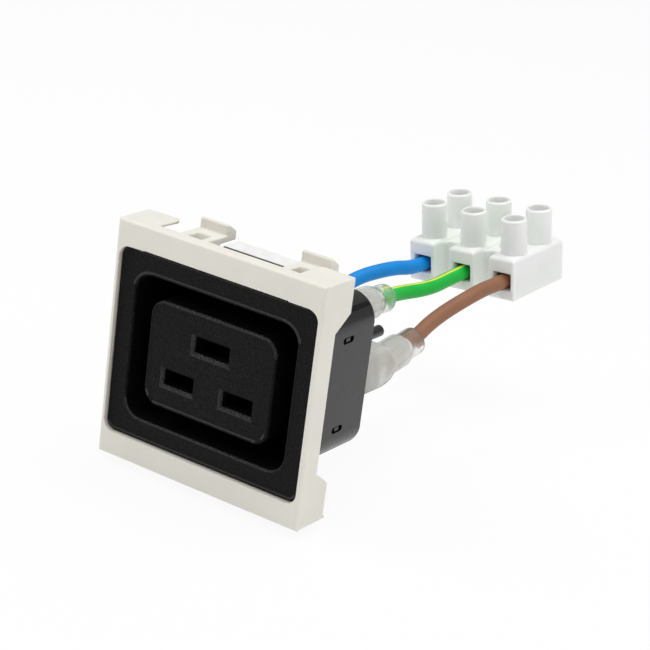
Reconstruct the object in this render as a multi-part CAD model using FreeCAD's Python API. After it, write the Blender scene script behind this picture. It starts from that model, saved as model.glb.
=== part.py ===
"""C19 socket outlet in a 45 x 45 mm snap-in frame, wired to a three-pole terminal block.

Millimetres. The origin is the centre of the frame's front face, +Z is up, the sockets face -Y,
and everything behind the front face lies on the +Y side.
"""
import FreeCAD, Part
import math
import os

V = FreeCAD.Vector
X_AXIS, Y_AXIS, Z_AXIS = V(1, 0, 0), V(0, 1, 0), V(0, 0, 1)

# ---- snap-in frame -------------------------------------------------------------------------
FRAME_SIDE = 45.0            # the 45 x 45 mm module format
HALF = FRAME_SIDE / 2
STRIP_DEPTH = 2.6            # thickness of the bars above and below the opening
SKIRT_DEPTH = 4.6            # depth of the side walls between their lugs
LUG_DEPTH = 8.7              # depth of the corner lugs
LUG_WALL = 0.5               # thickness of a lug's horizontal wall
FRAME_EDGE_R = 0.7           # rounding of the front outer edges
OPENING_HW, OPENING_HH = 21.6, 17.8
OPENING_R = 2.1
LEDGE_DEPTH = 2.0            # the ledge that the outlet's flange rests on
LEDGE_HW, LEDGE_HH, LEDGE_R = 19.0, 16.4, 5.0
HOOK_WIDTH = 6.2
HOOK_LEFTS = (-11.5, 10.6)   # left edges of the two snap hooks
HOOK_TOP = 22.0              # upper face of a hook's arm
HOOK_THICK, HOOK_ROOT_THICK = 1.2, 2.2
HOOK_ROOT_END = 7.7          # the arm is thicker up to here, round its window
HOOK_END = 12.1              # rear end of a hook
LIP_FRONT = 9.4              # front face of a hook's lip
LIP_TOP = 23.85

# ---- outlet --------------------------------------------------------------------------------
FACE_Y = 0.6                 # the flange's face sits this far behind the frame's front
FIT = 0.05                   # clearance round the flange
BODY_HW, BODY_HH, BODY_R = 18.8, 14.8, 5.0
BODY_REAR = 23.9
PAD_HW, PAD_TOP, PAD_FRONT = 12.8, 16.1, 4.6
RECESS_HW, RECESS_HH, RECESS_R = 17.65, 13.6, 3.4
RECESS_FLOOR = 18.0
ISLAND_HW, ISLAND_HH, ISLAND_R = 13.85, 10.0, 3.3
LIVE_X, LIVE_Z = 6.5, -4.0   # centres of the line and neutral slots
EARTH_Z = 4.0
LIVE_SLOT = (6.4, 2.8)
EARTH_SLOT = (7.4, 2.9)
SLOT_BEVEL = 0.55
CHAMBER = (8.2, 4.9)         # room for a contact spring behind each slot
WEB_REAR = 19.0              # rear face of the wall behind the recess
COVER_HW, COVER_HH, COVER_R = 17.5, 13.5, 3.8
LATCH_Z, LATCH_Y0, LATCH_Y1 = 8.5, 13.5, 16.8
LATCH_HH, LATCH_DEPTH = 0.6, 0.7
POST_R, POST_END = 1.08, 30.1

# ---- contacts and push-on terminals --------------------------------------------------------
METAL = 0.8                  # thickness of contacts and tabs
TAB_HH = 3.15                # half of a 6.3 mm tab
TAB_END = 36.0
BOSS_REAR = 25.4             # rear face of the raised bosses round the tabs
SLEEVE_FRONT, SLEEVE_SHOULDER = 27.4, 38.4
SLEEVE_HW, SLEEVE_HH, SLEEVE_CORNER = 2.3, 4.15, 0.9
SLEEVE_WALL = 0.4
BARREL_R, BARREL_LEN = 3.3, 5.2
COLLAR_R, COLLAR_LEN = 2.8, 5.3
COLLAR_BORE_R = 1.9
CRIMP_R, CRIMP_LEN = 2.2, 4.2
CRIMP_GAP = 0.6              # from a crimp's end to the end of its barrel
SHEET = 0.4                  # thickness of a receptacle's metal
RECEPTACLE_FRONT, RECEPTACLE_END = 28.0, 35.4

# ---- wires ---------------------------------------------------------------------------------
WIRE_R = 1.5                 # insulated wire
CORE_R = 1.0                 # stripped core

# ---- terminal block ------------------------------------------------------------------------
BLOCK_CORNER = V(-7.87, 80.5, -1.37)
BLOCK_YAW, BLOCK_PITCH, BLOCK_ROLL = -5.6, 5.2, -6.95
PITCH = 10.0
CELL_WIDTH, CELL_DEPTH, CELL_HEIGHT = 6.2, 17.94, 8.8
WEB_HEIGHT = 8.0
PILLAR_TOP = 16.08
PILLAR_R = 2.65
PILLAR_X = 3.25
CELL_BEVEL = 0.5
PILLAR_YS = (4.4, 13.3)
SCREW_BORE_R = 2.1
ENTRY_X = 3.1                # axis of a wire way, from its cell's left side
FRONT_ENTRY = (1.25, 5.35, 2.1, 5.6)    # left, right, bottom and top of a cell's front mouth
REAR_ENTRY = (0.65, 5.55, 2.1, 6.1)
ENTRY_DEPTH = 1.8
INSERT_HW, INSERT_HH, INSERT_BORE_R = 2.25, 2.15, 1.75
INSERT_Z = 4.1
INSERT_WEB = 0.6             # wire stop in the middle of each insert
WIRE_Z = 3.65                # height of a wire's axis above the block's base
WIRE_IN = ENTRY_DEPTH        # the insulation ends against the insert
CORE_IN = 8.0                # how far the stripped core enters the block
SCREW_R, SCREW_HEAD_R = 1.4, 1.7

# Each pole: contact slot, tab centre, end (y, z) and rise of its barrel, its cell in the block, and
# its wire's first run, free bends and last run.
TERMINALS = {
    "line": {"contact": (LIVE_X, LIVE_Z), "tab": (11.0, -4.4), "barrel_end": (46.7, -3.48), "rise": 7.3,
             "pole": 2, "first_run": 5.2, "bends": [V(10.78, 59.39, 0.11), V(13.86, 70.21, 4.31)],
             "last_run": 3.3},
    "neutral": {"contact": (-LIVE_X, LIVE_Z), "tab": (-11.0, -4.4), "barrel_end": (46.0, -3.6), "rise": 9.8,
                "pole": 0, "first_run": 6.2, "bends": [V(-10.51, 61.19, 1.69), V(-6.75, 70.7, 3.27)],
                "last_run": 4.75},
    "earth": {"contact": (0.0, EARTH_Z), "tab": (4.0, 4.2), "barrel_end": (45.4, 4.43), "rise": -2.2,
              "pole": 1, "first_run": 4.94, "bends": [V(2.43, 57.76, 3.19), V(4.23, 67.55, 2.61)],
              "last_run": 4.6},
}


# ---- shape helpers -------------------------------------------------------------------------
def block(x0, x1, y0, y1, z0, z1):
    """An axis-aligned box between two corners."""
    return Part.makeBox(x1 - x0, y1 - y0, z1 - z0, V(x0, y0, z0))


def rod(radius, length, start, direction):
    return Part.makeCylinder(radius, length, start, direction)


def rounded_wire(centre, across, upward, half_w, half_h, radius):
    """A closed outline of four lines and four corner arcs; a full circle when it is all corner."""
    def at(a, b):
        return centre + across * a + upward * b

    edges = []
    corners = ((1, 1, 0), (-1, 1, 90), (-1, -1, 180), (1, -1, 270))
    for index, (sx, sz, angle) in enumerate(corners):
        cx, cz = sx * (half_w - radius), sz * (half_h - radius)
        arc = [at(cx + radius * math.cos(math.radians(angle + k)),
                  cz + radius * math.sin(math.radians(angle + k))) for k in (0, 45, 90)]
        edges.append(Part.Arc(*arc).toShape())
        nx, nz, _ = corners[(index + 1) % 4]
        start_angle = math.radians(angle + 90)
        following = at(nx * (half_w - radius) + radius * math.cos(start_angle),
                       nz * (half_h - radius) + radius * math.sin(start_angle))
        if (following - arc[2]).Length > 1e-6:
            edges.append(Part.LineSegment(arc[2], following).toShape())
    return Part.Wire(edges)


def rounded_bar(half_w, half_h, radius, y0, y1, x=0.0, z=0.0):
    """A rounded rectangle in the XZ plane, extruded from y0 to y1."""
    wire = rounded_wire(V(x, y0, z), X_AXIS, Z_AXIS, half_w, half_h, radius)
    return Part.Face(wire).extrude(V(0, y1 - y0, 0))


def side_profile(points, x0, x1):
    """A (y, z) outline extruded from x0 to x1."""
    wire = Part.makePolygon([V(x0, y, z) for y, z in points + points[:1]])
    return Part.Face(wire).extrude(V(x1 - x0, 0, 0))


def mirrored(shape, normal):
    return shape.mirror(V(0, 0, 0), normal)


def edges_where(shape, test):
    return [edge for edge in shape.Edges if test(edge)]


def on_plane(edge, axis, value, tolerance=1e-4):
    """True when every vertex and the middle of an edge lie on one axis-normal plane."""
    middle = edge.valueAt((edge.FirstParameter + edge.LastParameter) / 2)
    points = [vertex.Point for vertex in edge.Vertexes] + [middle]
    return all(abs(getattr(point, axis) - value) < tolerance for point in points)


# ---- snap-in frame -------------------------------------------------------------------------
def frame_hook(left, top_side=True):
    """A snap hook: an arm, thicker at its root round a slope-backed window, and a ramped lip."""
    lower, root_lower = HOOK_TOP - HOOK_THICK, HOOK_TOP - HOOK_ROOT_THICK
    profile = [(STRIP_DEPTH - 0.8, root_lower), (HOOK_ROOT_END - 0.5, root_lower), (HOOK_ROOT_END, lower),
               (HOOK_END, lower), (HOOK_END, 22.5), (LIP_FRONT + 0.7, LIP_TOP),
               (LIP_FRONT, LIP_TOP), (LIP_FRONT, HOOK_TOP), (STRIP_DEPTH - 0.8, HOOK_TOP)]
    hook = side_profile(profile, left, left + HOOK_WIDTH)
    window = side_profile([(STRIP_DEPTH, root_lower - 1), (5.9, root_lower - 1), (7.35, HOOK_TOP + 1),
                           (STRIP_DEPTH, HOOK_TOP + 1)], left + 1.7, left + 4.7)
    hook = hook.cut(window)
    return hook if top_side else mirrored(hook, Z_AXIS)


def corner_lug(inner_x, outer_x, top_side=True):
    """The horizontal wall of one corner lug, with its free rear corner rounded."""
    lug = block(min(inner_x, outer_x), max(inner_x, outer_x), 0.9, LUG_DEPTH, HALF - LUG_WALL, HALF)
    free_corner = edges_where(lug, lambda e: on_plane(e, "x", inner_x) and on_plane(e, "y", LUG_DEPTH))
    lug = lug.makeFillet(1.2, free_corner)
    return lug if top_side else mirrored(lug, Z_AXIS)


def module_frame():
    plate = block(-HALF, HALF, 0, STRIP_DEPTH, -HALF, HALF)
    skirt_profile = [(0.9, HALF), (LUG_DEPTH, HALF), (LUG_DEPTH, 16.0), (SKIRT_DEPTH, 13.1),
                     (SKIRT_DEPTH, -12.8), (LUG_DEPTH - 0.3, -15.5), (LUG_DEPTH - 0.3, -HALF), (0.9, -HALF)]
    skirt = side_profile(skirt_profile, OPENING_HW, HALF)
    frame = plate.fuse([skirt, mirrored(skirt, X_AXIS)])
    ledge = block(-HALF, HALF, STRIP_DEPTH - 0.01, SKIRT_DEPTH, -19.5, 19.5)
    frame = frame.fuse(ledge).removeSplitter()
    frame = frame.makeFillet(FRAME_EDGE_R, edges_where(frame, lambda e: on_plane(e, "y", 0)))
    opening = rounded_bar(OPENING_HW, OPENING_HH, OPENING_R, -1, STRIP_DEPTH)
    ledge_hole = rounded_bar(LEDGE_HW, LEDGE_HH, LEDGE_R, 0, SKIRT_DEPTH + 1)
    finger_notch = block(-16.2, 15.2, -1, FACE_Y, OPENING_HH - 0.5, OPENING_HH + 0.2)
    frame = frame.cut([opening, ledge_hole, finger_notch])
    additions = []
    for top_side in (True, False):
        additions += [frame_hook(left, top_side) for left in HOOK_LEFTS]
        additions += [corner_lug(-15.0, -HALF, top_side), corner_lug(15.2, HALF, top_side)]
    return frame.fuse(additions).removeSplitter()


# ---- outlet --------------------------------------------------------------------------------
def slot(centre_x, centre_z, size):
    """A contact slot through the island's face, with a bevelled mouth and the chamber behind it."""
    half_w, half_h = size[0] / 2, size[1] / 2
    wide_w, wide_h = half_w + SLOT_BEVEL, half_h + SLOT_BEVEL
    mouth = Part.makeWedge(centre_x - wide_w, FACE_Y, centre_z - wide_h, centre_z - half_h, centre_x - half_w,
                           centre_x + wide_w, FACE_Y + SLOT_BEVEL, centre_z + wide_h, centre_z + half_h,
                           centre_x + half_w)
    throat = block(centre_x - half_w, centre_x + half_w, FACE_Y, 4, centre_z - half_h, centre_z + half_h)
    chamber = block(centre_x - CHAMBER[0] / 2, centre_x + CHAMBER[0] / 2, 3.2, WEB_REAR + 0.5,
                    centre_z - CHAMBER[1] / 2, centre_z + CHAMBER[1] / 2)
    return mouth.fuse([throat, chamber])


def snap_wedge(x):
    """A ramp on the pad that holds the outlet behind the frame's ledge."""
    profile = [(SKIRT_DEPTH + 0.05, PAD_TOP - 0.2), (SKIRT_DEPTH + 0.05, 17.3), (SKIRT_DEPTH + 0.7, 17.3),
               (8.4, PAD_TOP), (8.4, PAD_TOP - 0.2)]
    return side_profile(profile, x - 3, x + 3)


def latch_pocket(side, z):
    """A blind oblong pocket in the body's side with a small latch nub standing in it."""
    outer = side * BODY_HW
    inner = side * (BODY_HW - LATCH_DEPTH)
    pocket = block(min(outer, inner), max(outer, inner), LATCH_Y0, LATCH_Y1, z - LATCH_HH, z + LATCH_HH)
    corners = edges_where(pocket, lambda e: abs(e.tangentAt(e.FirstParameter).x) > 0.99)
    pocket = pocket.makeFillet(0.5, corners)
    nub_face = side * (BODY_HW - 0.15)
    nub = block(min(inner, nub_face), max(inner, nub_face), 14.6, 15.9, z - 0.35, z + 0.35)
    return pocket.cut(nub)


def outlet_body():
    flange = rounded_bar(OPENING_HW - FIT, OPENING_HH - FIT, OPENING_R - FIT, FACE_Y, STRIP_DEPTH)
    shell = rounded_bar(BODY_HW, BODY_HH, BODY_R, FACE_Y + 0.5, BODY_REAR)
    shell = shell.makeChamfer(0.8, edges_where(shell, lambda e: on_plane(e, "y", BODY_REAR)))
    pad = block(-PAD_HW, PAD_HW, PAD_FRONT, BODY_REAR, -PAD_TOP, PAD_TOP)
    body = shell.fuse([pad, flange])
    recess = rounded_bar(RECESS_HW, RECESS_HH, RECESS_R, FACE_Y - 1, RECESS_FLOOR)
    body = body.cut(recess)
    rims = edges_where(body, lambda e: on_plane(e, "y", FACE_Y))
    body = body.makeChamfer(0.35, rims)
    island = rounded_bar(ISLAND_HW, ISLAND_HH, ISLAND_R, FACE_Y, RECESS_FLOOR + 0.2)
    island = island.makeChamfer(0.4, edges_where(island, lambda e: on_plane(e, "y", FACE_Y)))
    body = body.fuse(island)
    cover_seat = rounded_bar(COVER_HW, COVER_HH, COVER_R, WEB_REAR, BODY_REAR + 1)
    cuts = [cover_seat, slot(0, EARTH_Z, EARTH_SLOT)]
    cuts += [slot(side * LIVE_X, LIVE_Z, LIVE_SLOT) for side in (-1, 1)]
    cuts += [latch_pocket(side, z) for side in (-1, 1) for z in (-LATCH_Z, LATCH_Z)]
    body = body.cut(cuts)
    wedges = [snap_wedge(x) for x in (-7.5, 7.5)]
    return body.fuse(wedges + [mirrored(wedge, Z_AXIS) for wedge in wedges]).removeSplitter()


def rear_cover():
    """The cover that closes the body's back, with a boss round each tab and the small post."""
    front = WEB_REAR + METAL
    plate = rounded_bar(COVER_HW, COVER_HH, COVER_R, front, BODY_REAR - 0.4)
    additions = [rounded_bar(2.2, 4.9, 1.0, BODY_REAR - 1, BOSS_REAR, *terminal["tab"])
                 for terminal in TERMINALS.values()]
    post = rod(POST_R, POST_END - BODY_REAR + 1, V(16.0, BODY_REAR - 1, 6.0), Y_AXIS)
    post = post.makeChamfer(0.25, edges_where(post, lambda e: on_plane(e, "y", POST_END)))
    cover = plate.fuse(additions + [post])
    slits = [tab_blade(terminal, front - 1, BOSS_REAR + 1) for terminal in TERMINALS.values()]
    return cover.cut(slits).removeSplitter()


def blank_label():
    return block(-PAD_HW + 0.05, PAD_HW - 0.05, 19.2, BODY_REAR - 0.1, PAD_TOP, PAD_TOP + 0.1)


# ---- contacts and push-on terminals --------------------------------------------------------
def tab_blade(terminal, y0, y1):
    x, z = terminal["tab"]
    return block(x - METAL / 2, x + METAL / 2, y0, y1, z - TAB_HH, z + TAB_HH)


def contact(terminal):
    """A sprung clip for the plug's blade, a bridge behind the web, and the tab at the rear."""
    cx, cz = terminal["contact"]
    tx, tz = terminal["tab"]
    leaf = [(9.5, 2.0), (11.5, 0.9), (13.5, 1.5), (WEB_REAR + 0.1, 1.5),
            (WEB_REAR + 0.1, 2.2), (13.4, 2.2), (11.6, 1.65), (9.8, 2.35)]
    upper = side_profile([(y, cz + z) for y, z in leaf], cx - 3.0, cx + 3.0)
    lower = side_profile([(y, cz - z) for y, z in leaf], cx - 3.0, cx + 3.0)
    reach = [cx - 3.0, cx + 3.0, tx - METAL / 2, tx + METAL / 2]
    bridge = block(min(reach), max(reach), WEB_REAR, WEB_REAR + METAL, tz - TAB_HH, tz + TAB_HH)
    tab = tab_blade(terminal, WEB_REAR, TAB_END)
    tip = edges_where(tab, lambda e: on_plane(e, "y", TAB_END) and e.Length > 2)
    tab = tab.makeChamfer(0.25, tip)
    return upper.fuse([lower, bridge, tab]).removeSplitter()


def barrel_frame(terminal):
    """Start point, direction and upward normal of the sleeve's barrel behind a push-on terminal."""
    angle = math.radians(terminal["rise"])
    along, upward = V(0, math.cos(angle), math.sin(angle)), V(0, -math.sin(angle), math.cos(angle))
    return V(terminal["tab"][0], *terminal["barrel_end"]) - along * BARREL_LEN, along, upward


def crimp_start(terminal):
    start, along, _ = barrel_frame(terminal)
    return start + along * (BARREL_LEN - CRIMP_GAP - CRIMP_LEN)


def receptacle(terminal):
    """A 6.3 mm push-on receptacle: rolled socket, neck and crimped barrel."""
    x, z = terminal["tab"]
    _, along, upward = barrel_frame(terminal)
    start = crimp_start(terminal)
    half_w, half_h = 1.1, 3.68
    centre = x + METAL / 2 + SHEET - half_w
    y0, y1 = RECEPTACLE_FRONT, RECEPTACLE_END
    outer = rounded_bar(half_w, half_h, 1.0, y0, y1, centre, z)
    inner = rounded_bar(half_w - SHEET, half_h - 0.33, 0.25, y0 - 1, y1 + 1, centre, z)
    seam = block(x - 2, x - 0.6, y0 - 1, y1 + 1, z - 0.8, z + 0.8)
    socket = outer.cut([inner, seam])
    side = x + METAL / 2
    wide = [V(side, y1 - 0.5, z + s * 3.0) for s in (-1, 1)]
    neck_end = start + along * 0.4 + X_AXIS * (METAL / 2)
    narrow = [neck_end + upward * (s * 1.7) for s in (1, -1)]
    neck = Part.Face(Part.makePolygon(wide + narrow + wide[:1])).extrude(V(SHEET, 0, 0))
    crimp = rod(CRIMP_R, CRIMP_LEN, start, along)
    bore = rod(CORE_R, CRIMP_LEN + 4, start - along * 2, along)
    return socket.fuse([neck, crimp]).cut([bore, tab_blade(terminal, y0 - 1, TAB_END)]).removeSplitter()


def sleeve_form(terminal, inset, front, barrel_length):
    """The sleeve's outline, inset by a wall: an oblong mouth that blends into a round barrel."""
    x, z = terminal["tab"]
    start, along, upward = barrel_frame(terminal)
    half_w, half_h, radius = SLEEVE_HW - inset, SLEEVE_HH - inset, BARREL_R - inset
    mouth = rounded_bar(half_w, half_h, SLEEVE_CORNER - inset, front, SLEEVE_SHOULDER, x, z)
    reach = radius + 0.05
    low, high = start - upward * reach, start + upward * reach
    flanks = side_profile([(SLEEVE_SHOULDER, z - half_h), (low.y, low.z), (high.y, high.z),
                           (SLEEVE_SHOULDER, z + half_h)], x - 5, x + 5)
    cheeks = [V(x - half_w, SLEEVE_SHOULDER, z - 9), V(x - reach, start.y, z - 9),
              V(x - reach, start.y + 1, z - 9), V(x + reach, start.y + 1, z - 9),
              V(x + reach, start.y, z - 9), V(x + half_w, SLEEVE_SHOULDER, z - 9)]
    cheeks = Part.Face(Part.makePolygon(cheeks + cheeks[:1])).extrude(V(0, 0, 18))
    length = start.y - SLEEVE_SHOULDER + 0.6
    cone = Part.makeCone(math.hypot(half_w, half_h) - 0.05, radius, length, start - along * length, along)
    blend = flanks.common(cheeks).common(cone)
    return mouth.fuse([blend, rod(radius, barrel_length, start, along)])


def sleeve(terminal):
    """A clear insulator: oblong mouth, blend, round barrel and a narrower collar round the wire."""
    start, along, _ = barrel_frame(terminal)
    skin = sleeve_form(terminal, 0, SLEEVE_FRONT, BARREL_LEN)
    collar = rod(COLLAR_R, COLLAR_LEN, start + along * BARREL_LEN, along)
    hollow = sleeve_form(terminal, SLEEVE_WALL, SLEEVE_FRONT - 1, BARREL_LEN - 0.5)
    bore = rod(COLLAR_BORE_R, COLLAR_LEN + 4, start + along * (BARREL_LEN - 2), along)
    return skin.fuse(collar).cut([hollow, bore]).removeSplitter()


# ---- terminal block ------------------------------------------------------------------------
def block_placement():
    turn = FreeCAD.Rotation(Y_AXIS, BLOCK_ROLL) * FreeCAD.Rotation(X_AXIS, BLOCK_PITCH) \
        * FreeCAD.Rotation(Z_AXIS, BLOCK_YAW)
    return FreeCAD.Placement(BLOCK_CORNER, turn)


def in_block(shape):
    placed = shape.copy()
    placed.transformShape(block_placement().toMatrix())
    return placed


def terminal_block():
    """The translucent housing: three cells, two webs with mounting holes, and six screw pillars."""
    cells, cuts = [], []
    for pole in range(3):
        left = pole * PITCH
        axis_x = left + ENTRY_X
        cell = block(left, left + CELL_WIDTH, 0, CELL_DEPTH, 0, CELL_HEIGHT)
        cells.append(cell.makeChamfer(CELL_BEVEL, edges_where(cell, lambda e: on_plane(e, "z", CELL_HEIGHT))))
        for y, (x0, x1, z0, z1) in ((-1, FRONT_ENTRY), (CELL_DEPTH - ENTRY_DEPTH, REAR_ENTRY)):
            cuts.append(block(left + x0, left + x1, y, y + ENTRY_DEPTH + 1, z0, z1))
        cuts.append(block(axis_x - INSERT_HW, axis_x + INSERT_HW, ENTRY_DEPTH, CELL_DEPTH - ENTRY_DEPTH,
                          INSERT_Z - INSERT_HH, INSERT_Z + INSERT_HH))
        for y in PILLAR_YS:
            root = V(left + PILLAR_X, y, CELL_HEIGHT - 1)
            pillar = rod(PILLAR_R, PILLAR_TOP - CELL_HEIGHT + 1, root, Z_AXIS)
            rim = edges_where(pillar, lambda e: on_plane(e, "z", PILLAR_TOP))
            cells.append(pillar.makeChamfer(0.3, rim))
            floor = INSERT_Z + INSERT_HH - 0.5
            cuts.append(rod(SCREW_BORE_R, PILLAR_TOP, V(left + PILLAR_X, y, floor), Z_AXIS))
    for gap in range(2):
        x0, x1 = gap * PITCH + CELL_WIDTH, (gap + 1) * PITCH
        middle, radius = (x0 + x1) / 2, (x1 - x0) / 2
        web = block(x0 - 0.5, x1 + 0.5, 3.0, CELL_DEPTH - 3.0, 0, WEB_HEIGHT)
        for y in (3.0, CELL_DEPTH - 3.0):
            web = web.cut(rod(radius, CELL_HEIGHT, V(middle, y, -0.1), Z_AXIS))
        cells.append(web)
        cuts.append(rod(1.4, CELL_HEIGHT + 2, V(middle, CELL_DEPTH / 2, -1), Z_AXIS))
    housing = cells[0].fuse(cells[1:]).cut(cuts).removeSplitter()
    return in_block(housing)


def insert(pole):
    """A brass clamp bar with a wire bore in each end and a threaded hole under each screw."""
    axis_x = pole * PITCH + ENTRY_X
    front, rear = ENTRY_DEPTH, CELL_DEPTH - ENTRY_DEPTH
    bar = block(axis_x - INSERT_HW, axis_x + INSERT_HW, front, rear,
                INSERT_Z - INSERT_HH, INSERT_Z + INSERT_HH)
    depth = (rear - front - INSERT_WEB) / 2
    bores = [rod(INSERT_BORE_R, depth, V(axis_x, front, INSERT_Z), Y_AXIS),
             rod(INSERT_BORE_R, depth, V(axis_x, rear - depth, INSERT_Z), Y_AXIS)]
    holes = [rod(SCREW_R, 6, V(pole * PITCH + PILLAR_X, y, INSERT_Z), Z_AXIS) for y in PILLAR_YS]
    return in_block(bar.cut(bores + holes))


def clamp_screw(pole, index):
    """A slotted clamp screw; the front one presses the wire, the rear one is backed off."""
    x, y = pole * PITCH + PILLAR_X, PILLAR_YS[index]
    tip = WIRE_Z + CORE_R if index == 0 else INSERT_Z + INSERT_BORE_R + 0.1
    head = 10.0 if index == 0 else 10.9
    screw = rod(SCREW_R, head - tip + 0.5, V(x, y, tip), Z_AXIS)
    screw = screw.fuse(rod(SCREW_HEAD_R, 1.8, V(x, y, head), Z_AXIS))
    slit = block(x - 3, x + 3, y - 0.25, y + 0.25, head + 1.1, head + 3)
    return in_block(screw.cut(slit).removeSplitter())


# ---- wires ---------------------------------------------------------------------------------
def route(name):
    """The points of a wire: out of its receptacle's crimp, round, and straight into the block."""
    terminal = TERMINALS[name]
    _, along, _ = barrel_frame(terminal)
    placement = block_placement()
    inward = placement.Rotation.multVec(Y_AXIS)
    crimp_end = crimp_start(terminal) + along * CRIMP_LEN
    end = placement.multVec(V(terminal["pole"] * PITCH + ENTRY_X, WIRE_IN, WIRE_Z))
    return [crimp_end, crimp_end + along * terminal["first_run"], *terminal["bends"],
            end - inward * terminal["last_run"], end]


def wire(name):
    """A tube along straight runs joined by tangent arcs, each as large as its runs allow."""
    points = route(name)
    edges, radii, here = [], [], points[0]
    for before, corner, after in zip(points, points[1:], points[2:]):
        back, ahead = before - corner, after - corner
        tangent = 0.45 * min(back.Length, ahead.Length)
        back.normalize()
        ahead.normalize()
        half_turn = (math.pi - back.getAngle(ahead)) / 2
        radius = tangent / math.tan(half_turn)
        bisector = back + ahead
        bisector.normalize()
        middle = corner + bisector * (radius / math.cos(half_turn) - radius)
        arc_start, arc_end = corner + back * tangent, corner + ahead * tangent
        edges.append(Part.LineSegment(here, arc_start).toShape())
        edges.append(Part.Arc(arc_start, middle, arc_end).toShape())
        radii.append(round(radius, 1))
        here = arc_end
    edges.append(Part.LineSegment(here, points[-1]).toShape())
    path = Part.Wire(edges)
    section = Part.Wire(Part.makeCircle(WIRE_R, points[0], points[1] - points[0]))
    tube = path.makePipeShell([section], True, True)
    ratio = tube.Volume / (math.pi * WIRE_R ** 2 * path.Length)
    print(f"wire_{name}: length {path.Length:.1f}, radii {radii}, tube volume ratio {ratio:.4f}")
    for point in points:
        print(f"    ({point.x:.2f}, {point.y:.2f}, {point.z:.2f})")
    return tube


def core_in_receptacle(terminal):
    _, along, _ = barrel_frame(terminal)
    return rod(CORE_R, CRIMP_LEN + 0.8, crimp_start(terminal) - along * 0.8, along)


def core_in_block(terminal):
    start = V(terminal["pole"] * PITCH + ENTRY_X, WIRE_IN, WIRE_Z)
    return in_block(rod(CORE_R, CORE_IN - WIRE_IN, start, Y_AXIS))


# ---- all pieces ----------------------------------------------------------------------------
def build():
    pieces = {
        "module_frame": module_frame(),
        "outlet_body": outlet_body(),
        "rear_cover": rear_cover(),
        "blank_label": blank_label(),
        "terminal_block": terminal_block(),
    }
    for name, terminal in TERMINALS.items():
        pieces[f"contact_{name}"] = contact(terminal)
        pieces[f"receptacle_{name}"] = receptacle(terminal)
        pieces[f"sleeve_{name}"] = sleeve(terminal)
        pieces[f"wire_{name}"] = wire(name)
        pieces[f"{name}_core_front"] = core_in_receptacle(terminal)
        pieces[f"{name}_core_rear"] = core_in_block(terminal)
        pieces[f"insert_{name}"] = insert(terminal["pole"])
        for index, place in enumerate(("front", "rear")):
            pieces[f"clamp_screw_{name}_{place}"] = clamp_screw(terminal["pole"], index)
    return pieces


os.makedirs("parts", exist_ok=True)
for node, shape in build().items():
    solids = shape.Solids
    if len(solids) != 1 or not shape.isValid():
        print("check", node, "solids", len(solids), "valid", shape.isValid())
    (solids[0] if len(solids) == 1 else shape).exportStep(f"parts/{node}.step")
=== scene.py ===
import bmesh
import bpy
import math
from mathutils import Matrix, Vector


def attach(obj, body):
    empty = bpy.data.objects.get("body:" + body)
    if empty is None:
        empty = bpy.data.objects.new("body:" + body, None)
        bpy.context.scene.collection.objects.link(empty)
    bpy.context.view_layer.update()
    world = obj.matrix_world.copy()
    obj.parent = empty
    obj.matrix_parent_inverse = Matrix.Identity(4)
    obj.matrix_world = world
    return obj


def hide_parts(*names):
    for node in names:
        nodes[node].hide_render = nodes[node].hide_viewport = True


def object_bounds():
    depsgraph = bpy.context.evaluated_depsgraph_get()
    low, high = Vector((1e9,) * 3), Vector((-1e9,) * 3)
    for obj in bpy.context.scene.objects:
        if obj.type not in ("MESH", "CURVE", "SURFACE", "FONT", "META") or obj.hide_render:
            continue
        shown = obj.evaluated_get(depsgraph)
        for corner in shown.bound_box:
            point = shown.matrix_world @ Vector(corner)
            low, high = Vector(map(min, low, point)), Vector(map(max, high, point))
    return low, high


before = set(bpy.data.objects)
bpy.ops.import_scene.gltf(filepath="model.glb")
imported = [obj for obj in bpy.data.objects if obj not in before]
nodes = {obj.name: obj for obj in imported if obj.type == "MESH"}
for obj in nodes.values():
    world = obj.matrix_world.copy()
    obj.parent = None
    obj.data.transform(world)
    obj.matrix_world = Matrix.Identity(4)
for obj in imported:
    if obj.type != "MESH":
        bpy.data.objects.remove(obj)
cad_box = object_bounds()

MM = 0.001
X_AXIS, Z_AXIS = Vector((1, 0, 0)), Vector((0, 0, 1))
POLES = ("line", "neutral", "earth")

# ---- outlet: where its surfaces lie, in millimetres ----------------------------------------
FACE_Y = 0.6                             # the front faces of the flange and the island
FACE_END_Y = 1.0                         # the eroded face ends here
RIM_END_Y = 1.4                          # the rounded rims lie in front of this
RIM_NORMAL_Y = (-0.995, -0.12)           # how far forward the normals of the rims point
RIM_UPWARD, SLOT_RIGHTWARD = 0.05, 0.3   # least slope of the rims that take the glossier plastic with painted highlight flecks
SLOTS_HW, SLOTS_HH = 12.5, 9.0           # the field of the three slots
RECESS_HW, RECESS_HH, RECESS_END_Y = 17.8, 13.75, 18.1
RAMPS_Z, RAMPS_Y = 15.5, (4.4, 4.8)      # the feet of the latch ramps
CROWN_WIDTH, CROWN_DEPTH = 0.45, 0.1     # the band round the front faces that falls back
SMALLEST = 0.01                          # lengths below this count as none

# ---- rounding of the mouldings -------------------------------------------------------------
WELD = 2e-6                              # metres
FLAT_ANGLE, SHARP_ANGLE, CREASE_ANGLE = (math.radians(a) for a in (0.6, 40, 38))
ROUNDING_STEPS = 3

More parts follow.
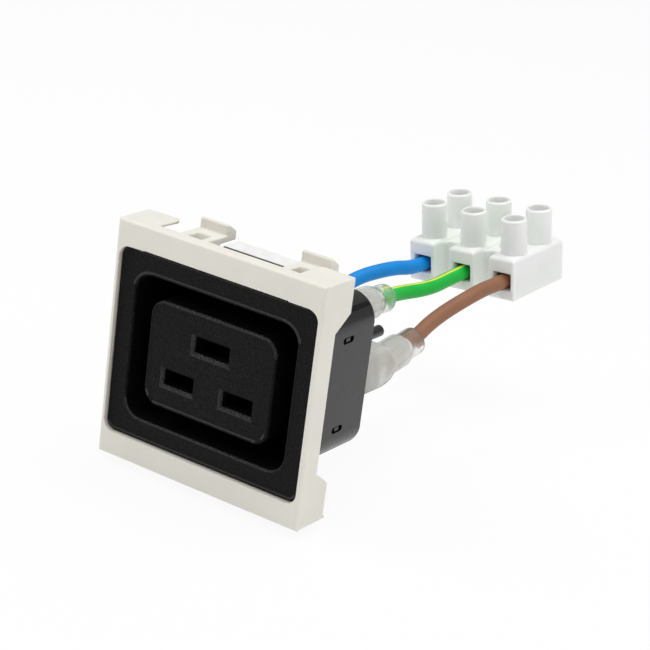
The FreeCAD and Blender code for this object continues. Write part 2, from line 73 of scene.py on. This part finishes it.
# ---- sleeves, in millimetres ---------------------------------------------------------------
TABS = {"line": (11.0, -4.4), "neutral": (-11.0, -4.4), "earth": (4.0, 4.2)}
SLEEVE_FRONT_Y, SHOULDER_Y = 27.4, 38.4
MOUTH_HW, MOUTH_HH = 2.3, 4.15
MOUTH_POWER, ROUND_POWER = 9, 2          # outline powers: nearly a rectangle, and a circle
BARREL_R, BARREL_LENGTH = 3.3, 5.2
COLLAR_R, COLLAR_LENGTH = 2.8, 5.3
CRIMP_GAP, GRIP_R, SLEEVE_WALL = 0.6, 1.53, 0.4
BLEND_STEPS = 10
OUTLINE_SIDES = 96
MOUTH_EDGE = ((0.0, 0.15), (0.12, 0.0))                   # (from the mouth, drawn in by)
BARREL_EDGE = ((-0.25, 0.0), (-0.07, 0.07), (0.0, 0.25))  # (from the barrel's end, drawn in by)
COLLAR_FOOT = ((0.05, 0.05), (0.2, 0.0))                  # (from the barrel's end, added radius)
COLLAR_EDGE = ((-0.25, 0.0), (-0.06, -0.08), (0.0, -0.3))  # (from the collar's end, added radius)
GRIP_EDGE = ((0.0, 0.25), (-0.3, 0.0))                    # the same, on the bore

# ---- wires ---------------------------------------------------------------------------------
WIRE_D = 3.0 * MM
ROUTES = {
    "line": [(11.00, 46.10, -3.56), (11.00, 51.26, -2.90), (10.78, 59.39, 0.11),
             (13.86, 70.21, 4.31), (14.41, 76.44, 4.67), (14.69, 79.71, 5.00)],
    "neutral": [(-11.00, 45.41, -3.70), (-11.00, 51.52, -2.65), (-10.51, 61.19, 1.69),
                (-6.75, 70.70, 3.27), (-5.50, 76.94, 2.29), (-5.09, 81.65, 2.77)],
    "earth": [(4.00, 44.80, 4.45), (4.00, 49.74, 4.26), (2.43, 57.76, 3.19),
              (4.23, 67.55, 2.61), (4.41, 76.12, 3.42), (4.80, 80.68, 3.88)],
}
EARTH_STRIPES = [(72, 98), (252, 278)]   # degrees round the wire
CURVE_STEPS, WIRE_SIDES, WIRE_ROUNDNESS = 16, 48, 10

# ---- stage and light -----------------------------------------------------------------------
FLOOR_HALF, FLOOR_GAP = 6, 0.0003        # metres
STAGE_GLOW, SKY_LIGHT = 0.92, 0.45
LAMP_TARGET = (0, 0.035, 0)
LAMPS = (("key", (0.1, 0.1, 0.7), 0.5, 2.5),      # name, place, disk size, power
         ("fill", (-0.40, -0.26, 0.54), 0.3, 1.0),
         ("front", (-0.1, -0.75, 0.2), 0.7, 0.62),
         ("side", (0.7, 0.1, 0.25), 0.5, 0.74))

# ---- textures: waves a metre ---------------------------------------------------------------
FLOW_WAVES, SHEEN_WAVES, GRAIN_WAVES = 90.0, 400.0, 2500.0


# ---- node materials ------------------------------------------------------------------------
def srgb(r, g, b):
    """A display colour from 0 to 255 as a shader colour."""
    def linear(c):
        c /= 255
        return c / 12.92 if c <= 0.04045 else ((c + 0.055) / 1.055) ** 2.4
    return (linear(r), linear(g), linear(b), 1.0)


def tint(colour, factor):
    return tuple(c * factor for c in colour[:3]) + (1.0,)


class Shader:
    """A Principled material with short calls for the nodes used here."""

    def __init__(self, name, colour, roughness, **sockets):
        self.material = bpy.data.materials.new(name)
        self.material.use_nodes = True
        self.tree = self.material.node_tree
        self.principled = self.tree.nodes["Principled BSDF"]
        self.set("Base Color", colour)
        self.set("Roughness", roughness)
        for socket, value in sockets.items():
            self.set(socket.replace("_", " "), value)
        self.material.diffuse_color = colour

    def set(self, socket, value):
        self.principled.inputs[socket].default_value = value

    def node(self, kind, **values):
        """A new node; each value goes to its property or, failing that, its input."""
        node = self.tree.nodes.new("ShaderNode" + kind)
        for key, value in values.items():
            if hasattr(node, key):
                setattr(node, key, value)
            else:
                node.inputs[key.replace("_", " ")].default_value = value
        return node

    def link(self, output, socket):
        self.tree.links.new(output, socket)

    def place(self):
        return self.node("NewGeometry").outputs["Position"]

    def noise(self, scale, detail=4.0, stretch=None):
        """Noise over the part, 0 to 1; scale is in waves a metre."""
        noise = self.node("TexNoise", Scale=scale, Detail=detail, Roughness=0.55)
        source = self.place()
        if stretch:
            mapping = self.node("Mapping", Scale=stretch)
            self.link(source, mapping.inputs["Vector"])
            source = mapping.outputs["Vector"]
        self.link(source, noise.inputs["Vector"])
        return noise.outputs["Fac"]

    def ramp(self, value, low, high, start=0.0, end=1.0):
        """value mapped from low..high to start..end, clamped."""
        node = self.node("MapRange", From_Min=low, From_Max=high, To_Min=start, To_Max=end)
        self.link(value, node.inputs["Value"])
        return node.outputs["Result"]

    def scaled(self, value, factor):
        node = self.node("Math", operation="MULTIPLY")
        self.link(value, node.inputs[0])
        node.inputs[1].default_value = factor
        return node.outputs[0]

    def total(self, first, second):
        node = self.node("Math", operation="ADD")
        self.link(first, node.inputs[0])
        self.link(second, node.inputs[1])
        return node.outputs[0]

    def colour_from(self, factor, first, second):
        mix = self.node("Mix", data_type="RGBA")
        self.link(factor, mix.inputs[0])
        mix.inputs[6].default_value = first
        mix.inputs[7].default_value = second
        self.link(mix.outputs[2], self.principled.inputs["Base Color"])

    def roughness_from(self, value):
        self.link(value, self.principled.inputs["Roughness"])

    def soften(self, radius):
        """Normals rounded over the piece's sharp edges."""
        return self.node("Bevel", samples=6, Radius=radius).outputs["Normal"]

    def bump(self, height, strength, distance, normal=None):
        bump = self.node("Bump", Strength=strength, Distance=distance)
        self.link(height, bump.inputs["Height"])
        if normal is not None:
            self.link(normal, bump.inputs["Normal"])
        self.link(bump.outputs["Normal"], self.principled.inputs["Normal"])


def moulded(name, colour, roughness, strength=0.08, edge=0.25 * MM, spread=0.05, **sockets):
    """A moulded plastic: faint flow in its colour, fine grain, soft edges."""
    shader = Shader(name, colour, roughness, **sockets)
    flow = shader.ramp(shader.noise(FLOW_WAVES, 3.0), 0.35, 0.65)
    shader.colour_from(flow, tint(colour, 1 - spread), tint(colour, 1 + spread))
    sheen = shader.noise(SHEEN_WAVES)
    shader.roughness_from(shader.ramp(sheen, 0.3, 0.7, roughness - 0.05, roughness + 0.07))
    shader.bump(shader.noise(GRAIN_WAVES, 3.0), strength, 0.02 * MM, shader.soften(edge))
    return shader.material


def eroded_black(name, dark, light, specular, roughness):
    """Spark-eroded black plastic: small pits that catch the light."""
    shader = Shader(name, dark, roughness, Specular_IOR_Level=specular)
    cells = shader.node("TexVoronoi", Scale=4300.0, feature="SMOOTH_F1")
    shader.link(shader.place(), cells.inputs["Vector"])
    pits = shader.total(shader.scaled(cells.outputs["Distance"], 0.7),
                        shader.scaled(shader.noise(3200.0), 0.9))
    shader.bump(pits, 1.0, 0.16 * MM, shader.soften(0.3 * MM))
    shader.colour_from(shader.ramp(shader.noise(4200.0), 0.52, 0.7), dark, light)
    sheen = shader.noise(2600.0, 3.0)
    shader.roughness_from(shader.ramp(sheen, 0.35, 0.65, roughness - 0.1, roughness + 0.12))
    return shader.material


def metal(name, colour, roughness, stretch=(1, 0.08, 1)):
    """Drawn or stamped metal with fine lines along the part."""
    shader = Shader(name, colour, roughness, Metallic=1.0)
    lines = shader.noise(1800.0, stretch=stretch)
    shader.roughness_from(shader.ramp(lines, 0.3, 0.7, roughness - 0.08, roughness + 0.12))
    stain = shader.ramp(shader.noise(300.0), 0.35, 0.7)
    shader.colour_from(stain, tint(colour, 0.88), tint(colour, 1.05))
    shader.bump(lines, 0.12, 0.02 * MM, shader.soften(0.12 * MM))
    return shader.material


def insulation(name, colour):
    """Satin wire insulation, faintly drawn along the wire."""
    shader = Shader(name, colour, 0.52, Specular_IOR_Level=0.3)
    shade = shader.ramp(shader.noise(160.0), 0.35, 0.65)
    shader.colour_from(shade, tint(colour, 0.94), tint(colour, 1.06))
    shader.bump(shader.noise(900.0, 3.0, stretch=(1, 0.25, 1)), 0.12, 0.05 * MM)
    return shader.material


def label_paper():
    shader = Shader("label_paper", srgb(240, 240, 239), 0.55)
    shader.bump(shader.noise(1500.0, 5.0), 0.1, 0.02 * MM)
    shade = shader.ramp(shader.noise(500.0), 0.4, 0.6)
    shader.colour_from(shade, srgb(236, 236, 235), srgb(243, 243, 242))
    return shader.material


def clear_nylon(name, transmission):
    """Nylon that is seen through, more or less milky."""
    shader = Shader(name, srgb(250, 249, 246), 0.2, IOR=1.48, Transmission_Weight=transmission)
    shade = shader.ramp(shader.noise(250.0), 0.35, 0.65)
    shader.colour_from(shade, srgb(246, 245, 240), srgb(252, 252, 249))
    shader.roughness_from(shader.ramp(shader.noise(500.0, 3.0), 0.3, 0.7, 0.08, 0.24))
    shader.bump(shader.noise(600.0, 2.0), 0.12, 0.08 * MM, shader.soften(0.2 * MM))
    return shader.material


def frosted_nylon():
    """Milky natural nylon: light passes through its thin walls."""
    shader = Shader("block_plastic", srgb(248, 251, 247), 0.4, Subsurface_Weight=1.0,
                    Subsurface_Scale=0.7 * MM, Subsurface_Radius=(1.0, 1.0, 1.0))
    shade = shader.ramp(shader.noise(FLOW_WAVES, 3.0), 0.35, 0.65)
    shader.colour_from(shade, srgb(242, 249, 241), srgb(249, 254, 247))
    shader.roughness_from(shader.ramp(shader.noise(SHEEN_WAVES), 0.3, 0.7, 0.36, 0.5))
    shader.bump(shader.noise(GRAIN_WAVES, 3.0), 0.08, 0.02 * MM, shader.soften(0.15 * MM))
    return shader.material


FRAME_WHITE = moulded("frame_plastic", srgb(235, 232, 223), 0.42, edge=0.3 * MM, spread=0.015,
                      Subsurface_Weight=0.3, Subsurface_Scale=0.8 * MM,
                      Subsurface_Radius=(1.0, 0.9, 0.7))
OUTLET_BLACK = moulded("outlet_plastic", srgb(17, 17, 18), 0.24, strength=0.04, edge=0.15 * MM)
ERODED = eroded_black("outlet_front_plastic", srgb(8, 8, 9), srgb(34, 35, 36), 0.12, 0.5)
# glossier eroded plastic for the rims that face the light; its lighter flecks are a painted
# highlight
ERODED_RIM_HIGHLIGHT = eroded_black("outlet_rim_painted_highlight", srgb(10, 10, 11), srgb(56, 57, 58), 0.4, 0.3)
BLOCK_NYLON = frosted_nylon()
LABEL = label_paper()
MILKY_NYLON = clear_nylon("clear_nylon", 0.68)
CLEAR_NYLON = clear_nylon("clear_nylon_collar", 0.96)
CONTACT_BRASS = metal("contact_brass", (0.78, 0.60, 0.30, 1), 0.3)
TINNED = metal("tinned_brass", (0.86, 0.84, 0.79, 1), 0.36)
INSERT_BRASS = metal("insert_brass", (0.20, 0.18, 0.14, 1), 0.42)
SCREW_STEEL = metal("screw_steel", (0.55, 0.55, 0.54, 1), 0.32, stretch=(1, 1, 1))
COPPER = metal("copper_strand", (0.75, 0.40, 0.25, 1), 0.35)
BROWN = insulation("brown_insulation", srgb(150, 104, 78))
BLUE = insulation("blue_insulation", srgb(0, 138, 224))
GREEN = insulation("green_insulation", srgb(20, 190, 66))
YELLOW = insulation("yellow_stripe", srgb(218, 226, 84))


def dress(node, material):
    mesh = nodes[node].data
    mesh.materials.clear()
    mesh.materials.append(material)


dress("rear_cover", OUTLET_BLACK)
dress("blank_label", LABEL)
for pole in POLES:
    dress(f"contact_{pole}", CONTACT_BRASS)
    dress(f"receptacle_{pole}", TINNED)
    dress(f"insert_{pole}", INSERT_BRASS)
    for place in ("front", "rear"):
        dress(f"{pole}_core_{place}", COPPER)
        dress(f"clamp_screw_{pole}_{place}", SCREW_STEEL)


# ---- mouldings with rounded edges ----------------------------------------------------------
def add_object(name, data):
    piece = bpy.data.objects.new(name, data)
    bpy.context.scene.collection.objects.link(piece)
    return piece


def by_slots(place):
    return abs(place.x) < SLOTS_HW and abs(place.z) < SLOTS_HH


def by_ramps(edge):
    """The outlet's edges at the feet of the latch ramps, which are too close to round."""
    near, far = RAMPS_Y
    return all(abs(vert.co.z) > RAMPS_Z * MM and near * MM < vert.co.y < far * MM
               for vert in edge.verts)


def crown_front(form):
    """A band round the outlet's front faces that falls back a little towards their rims."""
    def on_face(y):
        return abs(y - FACE_Y * MM) < SMALLEST * MM

    def is_front(face):
        return face.normal.y < -0.99 and on_face(face.calc_center_median().y)

    fronts = [face for face in form.faces if is_front(face)]
    rims = {vert for face in fronts for edge in face.edges for vert in edge.verts
            if any(not is_front(other) for other in edge.link_faces)}
    bmesh.ops.inset_region(form, faces=fronts, thickness=CROWN_WIDTH * MM,
                           use_even_offset=True, use_boundary=True)
    for vertex in rims:
        if on_face(vertex.co.y) and not by_slots(vertex.co / MM):
            vertex.co.y += CROWN_DEPTH * MM


def outlet_surface(place, normal):
    """0 on the smooth body, 1 on the eroded face and recess, 2 on the rims that look up (and the
    slot bevels that look right): glossier plastic whose lighter flecks are a painted highlight.
    """
    lowest, highest = RIM_NORMAL_Y
    if place.y < RIM_END_Y and lowest < normal.y < highest:
        # rims facing up and slot bevels facing right take the lighter flecks of painted highlight
        takes_painted_highlight = (normal.z > RIM_UPWARD
                         or (by_slots(place) and normal.x > SLOT_RIGHTWARD))
        return 2 if takes_painted_highlight else 1
    in_recess = (abs(place.x) < RECESS_HW and abs(place.z) < RECESS_HH
                 and place.y < RECESS_END_Y)
    return 1 if place.y < FACE_END_Y or in_recess else 0


def rounded_copy(node, name, radius, materials, smallest=0.8,
                 choose=None, shape=None, keep=None):
    """The node's own form with its sharp edges rounded.

    choose gives a face's material index, shape works on the form before the rounding, and
    keep names edges that stay sharp. Edges and faces below smallest (mm, mm2) stay too.
    """
    form = bmesh.new()
    form.from_mesh(nodes[node].data)
    bmesh.ops.remove_doubles(form, verts=form.verts, dist=WELD)
    bmesh.ops.dissolve_limit(form, angle_limit=FLAT_ANGLE, verts=form.verts, edges=form.edges,
                             delimit=set())
    if shape:
        shape(form)
    sharp = [edge for edge in form.edges
             if len(edge.link_faces) == 2 and edge.calc_face_angle(0) > SHARP_ANGLE
             and edge.calc_length() > smallest * MM
             and min(face.calc_area() for face in edge.link_faces) > smallest * MM ** 2
             and not (keep and keep(edge))]
    bmesh.ops.bevel(form, geom=sharp, offset=radius, offset_type="OFFSET",
                    segments=ROUNDING_STEPS, profile=0.5, affect="EDGES", clamp_overlap=False)
    for face in form.faces:
        face.smooth = True
        if choose:
            face.material_index = choose(face.calc_center_median() / MM, face.normal)
        else:
            face.material_index = 0
    for edge in form.edges:
        edge.smooth = len(edge.link_faces) == 2 and edge.calc_face_angle(0) < CREASE_ANGLE
    mesh = bpy.data.meshes.new(name)
    form.to_mesh(mesh)
    form.free()
    for material in materials:
        mesh.materials.append(material)
    piece = add_object(name, mesh)
    weighted = piece.modifiers.new("weighted", "WEIGHTED_NORMAL")
    weighted.keep_sharp = True
    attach(piece, "root")
    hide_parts(node)


# ---- clear sleeves -------------------------------------------------------------------------
def new_piece(name, vertices, faces, materials, slots=None):
    mesh = bpy.data.meshes.new(name)
    mesh.from_pydata([tuple(v) for v in vertices], [], faces)
    for material in materials:
        mesh.materials.append(material)
    if slots:
        mesh.polygons.foreach_set("material_index", slots)
    mesh.polygons.foreach_set("use_smooth", [True] * len(mesh.polygons))
    mesh.update()
    return add_object(name, mesh)


def smooth_step(t):
    t = min(max(t, 0.0), 1.0)
    return t * t * (3 - 2 * t)


def superellipse(half_w, half_h, power):
    """Points of a closed outline: a circle at power 2, nearly a rectangle at power 9."""
    points = []
    for index in range(OUTLINE_SIDES):
        angle = 2 * math.pi * (index + 0.5) / OUTLINE_SIDES
        c, s = math.cos(angle), math.sin(angle)
        points.append((half_w * math.copysign(abs(c) ** (2 / power), c),
                       half_h * math.copysign(abs(s) ** (2 / power), s)))
    return points


def gripping_sleeve(pole):
    """The clear sleeve: oblong mouth, smooth blend, round barrel, and a collar on the wire."""
    x, tab_z = TABS[pole]
    crimp_end, following = (Vector(point) for point in ROUTES[pole][:2])
    along = (following - crimp_end).normalized()
    upward = X_AXIS.cross(along)
    start = crimp_end + along * (CRIMP_GAP - BARREL_LENGTH)
    blend = start.y - SHOULDER_Y

    def outline(centre, up, half_w, half_h, power):
        return [(centre + X_AXIS * a + up * b) * MM
                for a, b in superellipse(half_w, half_h, power)]

    def section(place, inset=0.0):
        """Of the box, blend or barrel; place is the distance behind the barrel's start."""
        t = (place + blend) / blend
        share = smooth_step(t)
        if place >= 0:
            centre, up = start + along * place, upward
        else:
            straight = Vector((x, SHOULDER_Y, tab_z)).lerp(start, max(t, 0.0))
            centre = straight + Vector((0, min(place + blend, 0.0), 0))
            up = Z_AXIS.lerp(upward, share).normalized()
        return outline(centre, up, MOUTH_HW + (BARREL_R - MOUTH_HW) * share - inset,
                       MOUTH_HH + (BARREL_R - MOUTH_HH) * share - inset,
                       MOUTH_POWER + (ROUND_POWER - MOUTH_POWER) * share)

    def ring(place, radius):
        return outline(start + along * place, upward, radius, radius, ROUND_POWER)

    mouth = SLEEVE_FRONT_Y - SHOULDER_Y - blend
    end, last = BARREL_LENGTH, BARREL_LENGTH + COLLAR_LENGTH
    blends = [-blend + blend * step / BLEND_STEPS for step in range(BLEND_STEPS + 1)]
    outside = [section(mouth + step, inset) for step, inset in MOUTH_EDGE]
    outside += [section(place) for place in blends]
    outside += [section(end + step, inset) for step, inset in BARREL_EDGE]
    collar = [ring(end + step, COLLAR_R + more) for step, more in COLLAR_FOOT]
    collar += [ring(last + step, COLLAR_R + more) for step, more in COLLAR_EDGE]
    collar += [ring(last + step, GRIP_R + more) for step, more in GRIP_EDGE]
    collar += [ring(end - SLEEVE_WALL, GRIP_R)]
    inside = [section(end - SLEEVE_WALL, SLEEVE_WALL)]
    inside += [section(place, SLEEVE_WALL) for place in reversed(blends)]
    inside += [section(mouth, SLEEVE_WALL)]
    rings = outside + collar + inside
    clear = range(len(outside) - 1, len(outside) + len(collar) - 1)

    vertices = [point for outline_points in rings for point in outline_points]
    faces, slots = [], []
    for first in range(len(rings)):
        second = (first + 1) % len(rings)
        for side in range(OUTLINE_SIDES):
            after = (side + 1) % OUTLINE_SIDES
            faces.append((first * OUTLINE_SIDES + side, second * OUTLINE_SIDES + side,
                          second * OUTLINE_SIDES + after, first * OUTLINE_SIDES + after))
            slots.append(1 if first in clear else 0)
    piece = new_piece(f"clear_sleeve_{pole}", vertices, faces, [MILKY_NYLON, CLEAR_NYLON], slots)
    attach(piece, "root")
    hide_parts(f"sleeve_{pole}")


for pole in POLES:
    gripping_sleeve(pole)
rounded_copy("module_frame", "snap_frame", 0.22 * MM, [FRAME_WHITE],
             smallest=0.6)
rounded_copy("outlet_body", "outlet_moulding", 0.14 * MM, [OUTLET_BLACK, ERODED, ERODED_RIM_HIGHLIGHT],
             choose=outlet_surface, shape=crown_front, keep=by_ramps)
rounded_copy("terminal_block", "block_moulding", 0.3 * MM, [BLOCK_NYLON])


# ---- wires ---------------------------------------------------------------------------------
def spline_curve(name, points):
    """A NURBS curve with the route's points as its control points."""
    curve = bpy.data.curves.new(name, "CURVE")
    curve.dimensions = "3D"
    spline = curve.splines.new("NURBS")
    spline.points.add(len(points) - 1)
    for point, place in zip(spline.points, points):
        point.co = (*(c * MM for c in place), 1.0)
    spline.order_u = 3
    spline.use_endpoint_u = True
    spline.resolution_u = CURVE_STEPS
    return add_object(name, curve)


def centre_line(piece):
    """The points along a curve with no bevel."""
    bpy.context.view_layer.update()
    graph = bpy.context.evaluated_depsgraph_get()
    mesh = bpy.data.meshes.new_from_object(piece.evaluated_get(graph))
    points = [v.co.copy() for v in mesh.vertices]
    bpy.data.meshes.remove(mesh)
    return points


def striped_tube(name, points, radius, materials, stripes):
    """A tube along points; faces whose angle falls in a stripe take the second material."""
    vertices, faces, slots = [], [], []
    upward = Z_AXIS
    for index, point in enumerate(points):
        before, after = points[max(index - 1, 0)], points[min(index + 1, len(points) - 1)]
        along = (after - before).normalized()
        upward = (upward - along * upward.dot(along)).normalized()
        across = along.cross(upward)
        for side in range(WIRE_SIDES):
            angle = 2 * math.pi * side / WIRE_SIDES
            spoke = across * math.cos(angle) + upward * math.sin(angle)
            vertices.append(point + spoke * radius)
    for near in range(0, (len(points) - 1) * WIRE_SIDES, WIRE_SIDES):
        far = near + WIRE_SIDES
        for side in range(WIRE_SIDES):
            following = (side + 1) % WIRE_SIDES
            faces.append((near + side, near + following, far + following, far + side))
            angle = 360 * (side + 0.5) / WIRE_SIDES
            slots.append(1 if any(low < angle < high for low, high in stripes) else 0)
    last = (len(points) - 1) * WIRE_SIDES
    faces.append(tuple(reversed(range(WIRE_SIDES))))
    faces.append(tuple(range(last, last + WIRE_SIDES)))
    slots += [0, 0]
    return new_piece(name, vertices, faces, materials, slots)


def plain_wire(name, points, material):
    piece = spline_curve(name, points)
    piece.data.bevel_depth = WIRE_D / 2
    piece.data.bevel_resolution = WIRE_ROUNDNESS
    piece.data.use_fill_caps = True
    piece.data.materials.append(material)
    return piece


for pole, material, slot in (("line", BROWN, "brown_insulation"),
                             ("neutral", BLUE, "blue_insulation")):
    wire = plain_wire(f"insulated_{pole}", ROUTES[pole], material)
    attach(wire, "root")
    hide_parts(f"wire_{pole}")

guide = spline_curve("earth_guide", ROUTES["earth"])
line_points = centre_line(guide)
bpy.data.objects.remove(guide)
wire = striped_tube("insulated_earth", line_points, WIRE_D / 2, [GREEN, YELLOW], EARTH_STRIPES)
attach(wire, "root")
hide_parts("wire_earth")


# ---- camera, floor and light ---------------------------------------------------------------
camera_data = bpy.data.cameras.new("camera")
camera_data.sensor_width = 36.0
camera_data.lens = 107.958
camera_data.clip_start = 0.01
camera = add_object("camera", camera_data)
camera.location = (0.184111, -0.258222, 0.125102)
camera.rotation_euler = (1.224168, -0.122737, 0.602019)
bpy.context.scene.camera = camera


def any_ray(tree, *kinds):
    """1 where one of the named kinds of ray arrives, else 0."""
    path = tree.nodes.new("ShaderNodeLightPath")
    result = path.outputs[kinds[0]]
    for kind in kinds[1:]:
        either = tree.nodes.new("ShaderNodeMath")
        either.operation = "MAXIMUM"
        tree.links.new(result, either.inputs[0])
        tree.links.new(path.outputs[kind], either.inputs[1])
        result = either.outputs[0]
    return result


def blend_shaders(tree, share, first, second, output):
    mix = tree.nodes.new("ShaderNodeMixShader")
    tree.links.new(share, mix.inputs[0])
    tree.links.new(first.outputs[0], mix.inputs[1])
    tree.links.new(second.outputs[0], mix.inputs[2])
    tree.links.new(mix.outputs[0], output.inputs[0])


def white_stage_material():
    """White to the camera and in reflections, plain white to the light; it keeps a shadow."""
    material = bpy.data.materials.new("stage_white")
    material.use_nodes = True
    tree = material.node_tree
    tree.nodes.clear()
    output = tree.nodes.new("ShaderNodeOutputMaterial")
    diffuse = tree.nodes.new("ShaderNodeBsdfDiffuse")
    diffuse.inputs["Color"].default_value = (0.9, 0.9, 0.9, 1)
    glow = tree.nodes.new("ShaderNodeEmission")
    glow.inputs["Strength"].default_value = 1.0
    share = tree.nodes.new("ShaderNodeMath")
    share.operation = "MULTIPLY"
    share.inputs[1].default_value = STAGE_GLOW
    seen = any_ray(tree, "Is Camera Ray", "Is Glossy Ray", "Is Transmission Ray")
    tree.links.new(seen, share.inputs[0])
    blend_shaders(tree, share.outputs[0], diffuse, glow, output)
    return material


def white_world():
    """White to the camera and through clear pieces, a soft light to the rest."""
    world = bpy.data.worlds.new("world")
    bpy.context.scene.world = world
    world.use_nodes = True
    tree = world.node_tree
    tree.nodes.clear()
    output = tree.nodes.new("ShaderNodeOutputWorld")
    lit, white = (tree.nodes.new("ShaderNodeBackground") for _ in range(2))
    for background, strength in ((lit, SKY_LIGHT), (white, 1.0)):
        background.inputs["Color"].default_value = (1, 1, 1, 1)
        background.inputs["Strength"].default_value = strength
    seen = any_ray(tree, "Is Camera Ray", "Is Transmission Ray")
    blend_shaders(tree, seen, lit, white, output)


def lamp(name, place, size, power):
    data = bpy.data.lights.new(name, "AREA")
    data.shape = "DISK"
    data.size = size
    data.energy = power
    light = add_object(name, data)
    light.location = place
    direction = Vector(LAMP_TARGET) - Vector(place)
    light.rotation_euler = direction.to_track_quat("-Z", "Y").to_euler()


floor_z = cad_box[0][2] - FLOOR_GAP
corners = [(-FLOOR_HALF, -FLOOR_HALF), (FLOOR_HALF, -FLOOR_HALF),
           (FLOOR_HALF, FLOOR_HALF), (-FLOOR_HALF, FLOOR_HALF)]
floor = new_piece("floor", [(x, y, floor_z) for x, y in corners], [(0, 1, 2, 3)],
                  [white_stage_material()])
white_world()
for name, place, size, power in LAMPS:
    lamp(name, place, size, power)
bpy.context.scene.view_settings.view_transform = "Standard"
